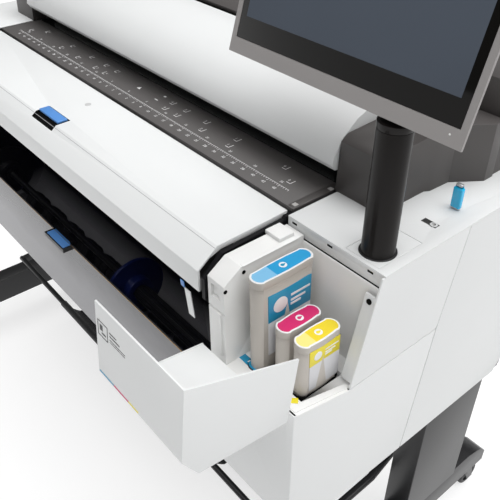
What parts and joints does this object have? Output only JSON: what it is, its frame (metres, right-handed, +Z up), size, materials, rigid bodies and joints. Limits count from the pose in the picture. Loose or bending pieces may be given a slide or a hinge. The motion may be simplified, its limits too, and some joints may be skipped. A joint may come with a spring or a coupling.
{
  "type": "large format plotter",
  "caption": "Wheeled large format plotter with a scanner on top, tinted roll window, open ink door, cartridges, touch screen on a post and a cloth basket.",
  "frame": {"origin": "on the floor, midway between the four feet and under the middle of the paper path", "axes": "+X to the operator's right, +Y to the back, +Z up"},
  "size_m": [1.4615, 0.8687, 1.3815],
  "materials": {
    "stand_paint": "satin black powder coat",
    "basket_fabric": "matt woven cloth",
    "caster_plastic": "moulded",
    "caster_tread": "matt",
    "galvanised_steel": "rolled sheet",
    "black_plastic": "fine texture",
    "white_plastic": "fine moulded texture",
    "bay_plastic": "fine moulded texture",
    "cartridge_cyan": "printed top on a warm grey body",
    "cartridge_magenta": "printed top on a warm grey body",
    "cartridge_yellow": "printed top on a warm grey body",
    "cartridge_grey": "printed top on a warm grey body",
    "blue_plastic": "satin",
    "smoked_window": "smoked clear plastic",
    "grey_panel": "gloss",
    "navy_plastic": "satin",
    "roller_rubber": "matt",
    "ground_steel": "ground",
    "dark_plastic": "fine spark texture",
    "belt_rubber": "matt",
    "tray_metal": "fine textured paint with printed marks",
    "scan_glass": "polished",
    "white_roller": "satin",
    "post_paint": "satin",
    "screen_plastic": "satin",
    "screen_glass": "gloss",
    "stick_shell": "translucent gloss"
  },
  "bodies": {
    "frame": {"foot_arms": "stand_paint", "stand_legs": "stand_paint", "leg_brace": "stand_paint", "basket_frame": "stand_paint", "basket_cloth": "basket_fabric", "chassis_floor": "galvanised_steel", "side_plates": "black_plastic", "rear_cover": "white_plastic", "inlet_panel": "black_plastic", "upper_side_panels": "white_plastic", "rear_side_panels": "white_plastic", "lower_panels": "white_plastic", "left_top_cover": "white_plastic", "right_top_cover": "white_plastic", "post_lid": "white_plastic", "left_ink_bay": "bay_plastic", "right_ink_bay": "bay_plastic", "left_cartridges": "cartridge_grey", "lower_front_panel": "grey_panel", "roll_bay_liner": "black_plastic", "platen": "black_plastic", "carriage_rail": "ground_steel", "carriage_belt": "belt_rubber", "scan_tray": "tray_metal", "scan_bar": "scan_glass", "scan_end_caps": "dark_plastic", "stacker": "dark_plastic", "screen_post": "post_paint"},
    "right_ink_door": {"right_ink_door": "white_plastic"},
    "left_ink_door": {"left_ink_door": "white_plastic"},
    "roll_cover": {"roll_cover": "white_plastic"},
    "cover_latch": {"cover_latch": "blue_plastic"},
    "roll_window": {"roll_window": "smoked_window"},
    "window_latch": {"window_latch": "blue_plastic"},
    "screen_swivel": {"screen_neck": "post_paint"},
    "screen": {"screen_housing": "screen_plastic", "screen_glass": "screen_glass"},
    "power_button": {"power_button": "white_plastic"},
    "usb_stick": {"usb_stick": "stick_shell"},
    "cyan_cartridge": {"cyan_cartridge": "cartridge_cyan"},
    "magenta_cartridge": {"magenta_cartridge": "cartridge_magenta"},
    "yellow_cartridge": {"yellow_cartridge": "cartridge_yellow"},
    "spindle": {"roll_spindle": "black_plastic", "roll_hubs": "navy_plastic"},
    "support_rollers": {"support_rollers": "roller_rubber"},
    "feed_roller": {"feed_roller": "ground_steel"},
    "pinch_rollers": {"pinch_rollers": "roller_rubber"},
    "carriage": {"print_carriage": "dark_plastic"},
    "drive_pulley": {"drive_pulley": "ground_steel"},
    "idler_pulley": {"idler_pulley": "ground_steel"},
    "scan_roller": {"scan_roller": "white_roller"},
    "scan_hood": {"scan_hood": "white_plastic"},
    "caster_front_left": {"caster_fork_front_left": "caster_plastic"},
    "wheel_front_left": {"caster_wheel_front_left": "caster_tread"},
    "caster_front_right": {"caster_fork_front_right": "caster_plastic"},
    "wheel_front_right": {"caster_wheel_front_right": "caster_tread"},
    "caster_rear_left": {"caster_fork_rear_left": "caster_plastic"},
    "wheel_rear_left": {"caster_wheel_rear_left": "caster_tread"},
    "caster_rear_right": {"caster_fork_rear_right": "caster_plastic"},
    "wheel_rear_right": {"caster_wheel_rear_right": "caster_tread"}
  },
  "joints": [
    {"name": "right_door_hinge", "type": "hinge", "parent": "frame", "child": "right_ink_door", "pos_m": [0.6, -0.3045, 0.786], "axis": [1, 0, 0], "range_deg": [-82, 0]},
    {"name": "left_door_hinge", "type": "hinge", "parent": "frame", "child": "left_ink_door", "pos_m": [-0.6, -0.3045, 0.786], "axis": [1, 0, 0], "range_deg": [0, 82]},
    {"name": "roll_cover_hinge", "type": "hinge", "parent": "frame", "child": "roll_cover", "pos_m": [0, -0.131, 0.946], "axis": [1, 0, 0], "range_deg": [-60, 0]},
    {"name": "cover_latch_slide", "type": "slide", "parent": "roll_cover", "child": "cover_latch", "axis": [0, -1, 0], "range_m": [0, 0.006], "stiffness_N_per_m": 150},
    {"name": "roll_window_hinge", "type": "hinge", "parent": "frame", "child": "roll_window", "pos_m": [0, -0.281, 0.878], "axis": [1, 0, 0], "range_deg": [-75, 0]},
    {"name": "window_latch_slide", "type": "slide", "parent": "roll_window", "child": "window_latch", "axis": [0, 0, -1], "range_m": [0, 0.002], "stiffness_N_per_m": 200},
    {"name": "screen_swivel", "type": "hinge", "parent": "frame", "child": "screen_swivel", "pos_m": [0.657, -0.1025, 1.12], "axis": [0, 0, 1], "range_deg": [-30, 30]},
    {"name": "screen_tilt", "type": "hinge", "parent": "screen_swivel", "child": "screen", "pos_m": [0.657, -0.056, 1.265], "axis": [1, 0, 0], "range_deg": [-15, 0]},
    {"name": "power_button_press", "type": "slide", "parent": "frame", "child": "power_button", "axis": [0, 0, -1], "range_m": [0, 0.0015], "stiffness_N_per_m": 300},
    {"name": "usb_stick_pull", "type": "slide", "parent": "frame", "child": "usb_stick", "axis": [0, 0, 1], "range_m": [0, 0.04]},
    {"name": "cyan_cartridge_lift", "type": "slide", "parent": "frame", "child": "cyan_cartridge", "axis": [0, 0, 1], "range_m": [0, 0.18]},
    {"name": "magenta_cartridge_lift", "type": "slide", "parent": "frame", "child": "magenta_cartridge", "axis": [0, 0, 1], "range_m": [0, 0.18]},
    {"name": "yellow_cartridge_lift", "type": "slide", "parent": "frame", "child": "yellow_cartridge", "axis": [0, 0, 1], "range_m": [0, 0.18]},
    {"name": "spindle_spin", "type": "hinge", "parent": "frame", "child": "spindle", "pos_m": [0, -0.2, 0.615], "axis": [1, 0, 0], "continuous": true},
    {"name": "support_rollers_spin", "type": "hinge", "parent": "frame", "child": "support_rollers", "pos_m": [0, -0.174, 0.548], "axis": [1, 0, 0], "continuous": true},
    {"name": "feed_roller_spin", "type": "hinge", "parent": "frame", "child": "feed_roller", "pos_m": [0, -0.132, 0.828], "axis": [1, 0, 0], "continuous": true},
    {"name": "pinch_rollers_spin", "type": "hinge", "parent": "frame", "child": "pinch_rollers", "pos_m": [0, -0.132, 0.8462], "axis": [1, 0, 0], "continuous": true},
    {"name": "carriage_slide", "type": "slide", "parent": "frame", "child": "carriage", "axis": [1, 0, 0], "range_m": [-0.39, 0.39]},
    {"name": "drive_pulley_spin", "type": "hinge", "parent": "frame", "child": "drive_pulley", "pos_m": [0.478, -0.126, 0.9], "axis": [0, 1, 0], "range_deg": [-2500, 2500]},
    {"name": "idler_pulley_spin", "type": "hinge", "parent": "frame", "child": "idler_pulley", "pos_m": [-0.478, -0.126, 0.9], "axis": [0, 1, 0], "range_deg": [-2500, 2500]},
    {"name": "scan_roller_spin", "type": "hinge", "parent": "frame", "child": "scan_roller", "pos_m": [0, 0.012, 0.9705], "axis": [1, 0, 0], "continuous": true},
    {"name": "scan_hood_hinge", "type": "hinge", "parent": "frame", "child": "scan_hood", "pos_m": [0, 0.11, 1.077], "axis": [1, 0, 0], "range_deg": [-35, 0]},
    {"name": "caster_swivel_front_left", "type": "hinge", "parent": "frame", "child": "caster_front_left", "pos_m": [-0.66, -0.3555, 0.1], "axis": [0, 0, 1], "continuous": true},
    {"name": "wheel_spin_front_left", "type": "hinge", "parent": "caster_front_left", "child": "wheel_front_left", "pos_m": [-0.66, -0.3335, 0.032], "axis": [1, 0, 0], "continuous": true},
    {"name": "caster_swivel_front_right", "type": "hinge", "parent": "frame", "child": "caster_front_right", "pos_m": [0.66, -0.3555, 0.1], "axis": [0, 0, 1], "continuous": true},
    {"name": "wheel_spin_front_right", "type": "hinge", "parent": "caster_front_right", "child": "wheel_front_right", "pos_m": [0.66, -0.3335, 0.032], "axis": [1, 0, 0], "continuous": true},
    {"name": "caster_swivel_rear_left", "type": "hinge", "parent": "frame", "child": "caster_rear_left", "pos_m": [-0.66, 0.3555, 0.1], "axis": [0, 0, 1], "continuous": true},
    {"name": "wheel_spin_rear_left", "type": "hinge", "parent": "caster_rear_left", "child": "wheel_rear_left", "pos_m": [-0.66, 0.3775, 0.032], "axis": [1, 0, 0], "continuous": true},
    {"name": "caster_swivel_rear_right", "type": "hinge", "parent": "frame", "child": "caster_rear_right", "pos_m": [0.66, 0.3555, 0.1], "axis": [0, 0, 1], "continuous": true},
    {"name": "wheel_spin_rear_right", "type": "hinge", "parent": "caster_rear_right", "child": "wheel_rear_right", "pos_m": [0.66, 0.3775, 0.032], "axis": [1, 0, 0], "continuous": true}
  ],
  "couplings": [
    {"joint": "pinch_rollers_spin", "follows": "feed_roller_spin", "ratio": -2},
    {"joint": "drive_pulley_spin", "follows": "carriage_slide", "rad_per_m": 111.11},
    {"joint": "idler_pulley_spin", "follows": "carriage_slide", "rad_per_m": 111.11}
  ]
}
